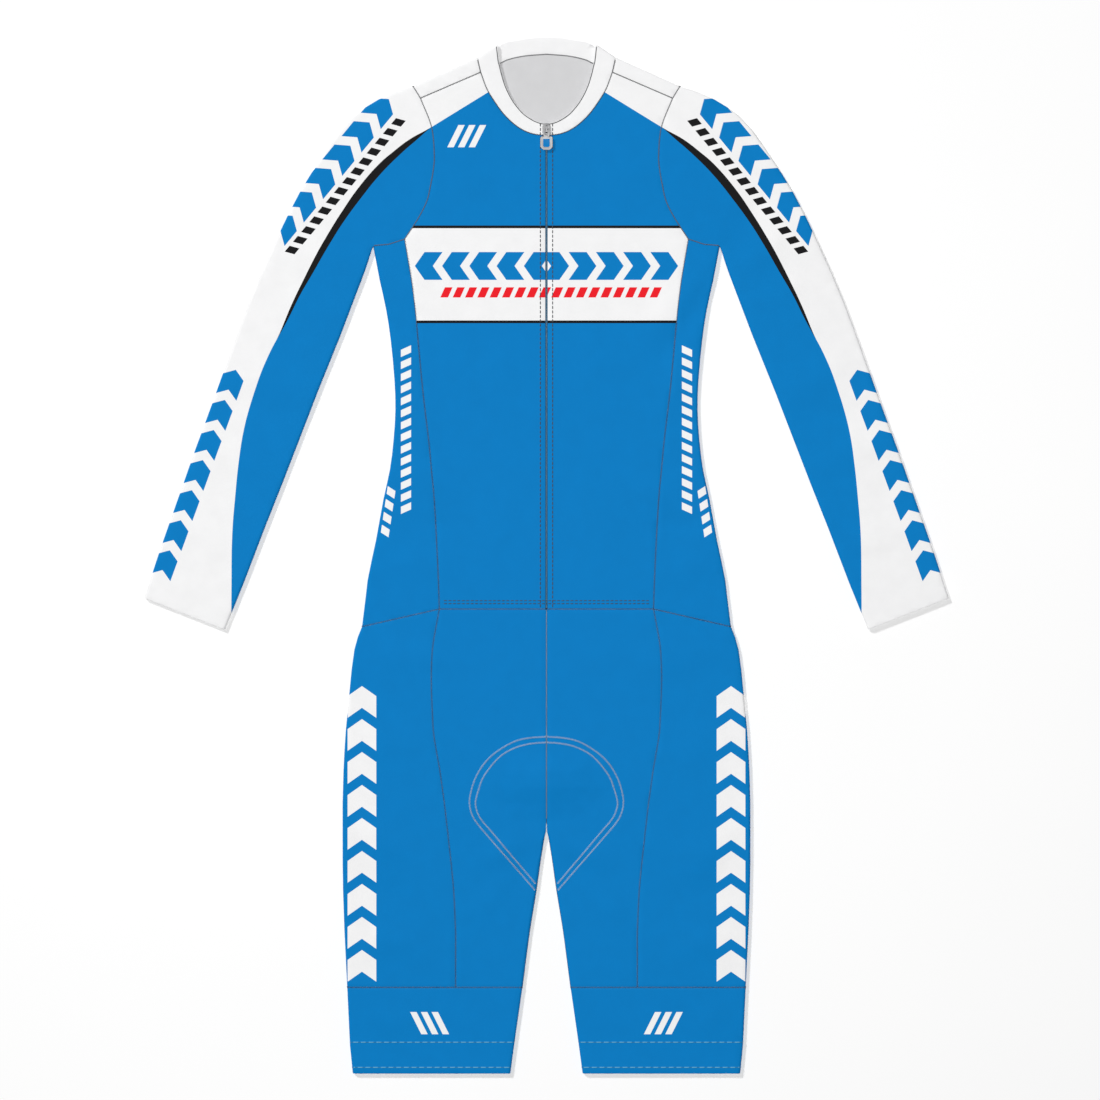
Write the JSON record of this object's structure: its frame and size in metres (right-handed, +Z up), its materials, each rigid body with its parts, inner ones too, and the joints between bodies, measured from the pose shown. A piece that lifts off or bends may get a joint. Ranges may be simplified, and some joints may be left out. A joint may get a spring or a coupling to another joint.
{
  "type": "cyclocross skinsuit",
  "caption": "Long-sleeved, short-legged one-piece cycling suit with a front zip, low collar and seat pad, lying flat face up.",
  "frame": {"origin": "on the surface that the suit lies on, under the centre line, at half the suit's length", "axes": "+Y from the legs to the neck, +Z up out of the suit's front, +X towards the wearer's left sleeve"},
  "size_m": [0.868, 1.118, 0.0099],
  "materials": {
    "blue_knit": "smooth two-way stretch knit, printed",
    "white_knit": "smooth two-way stretch knit, printed",
    "pad_foam": "brushed foam pad",
    "zip_nylon": "woven tape and moulded coil",
    "zip_metal": "bright plated metal"
  },
  "bodies": {
    "garment": {"back": "blue_knit", "front_left": "blue_knit", "front_right": "blue_knit", "side_left": "blue_knit", "side_right": "blue_knit", "shorts_front_left": "blue_knit", "shorts_front_right": "blue_knit", "shorts_side_left": "blue_knit", "shorts_side_right": "blue_knit", "shorts_back_left": "blue_knit", "shorts_back_right": "blue_knit", "leg_band_left": "blue_knit", "leg_band_right": "blue_knit", "sleeve_left": "white_knit", "sleeve_right": "white_knit", "collar": "white_knit", "seat_pad": "pad_foam", "zip_tape_left": "zip_nylon", "zip_tape_right": "zip_nylon", "zip_slider": "zip_metal"},
    "pull_tab": {"zip_pull": "zip_metal"}
  },
  "joints": [
    {"name": "pull_tab_hinge", "type": "hinge", "parent": "garment", "child": "pull_tab", "pos_m": [0, 0.459, 0.0077], "axis": [-1, 0, 0], "range_deg": [0, 170]}
  ]
}
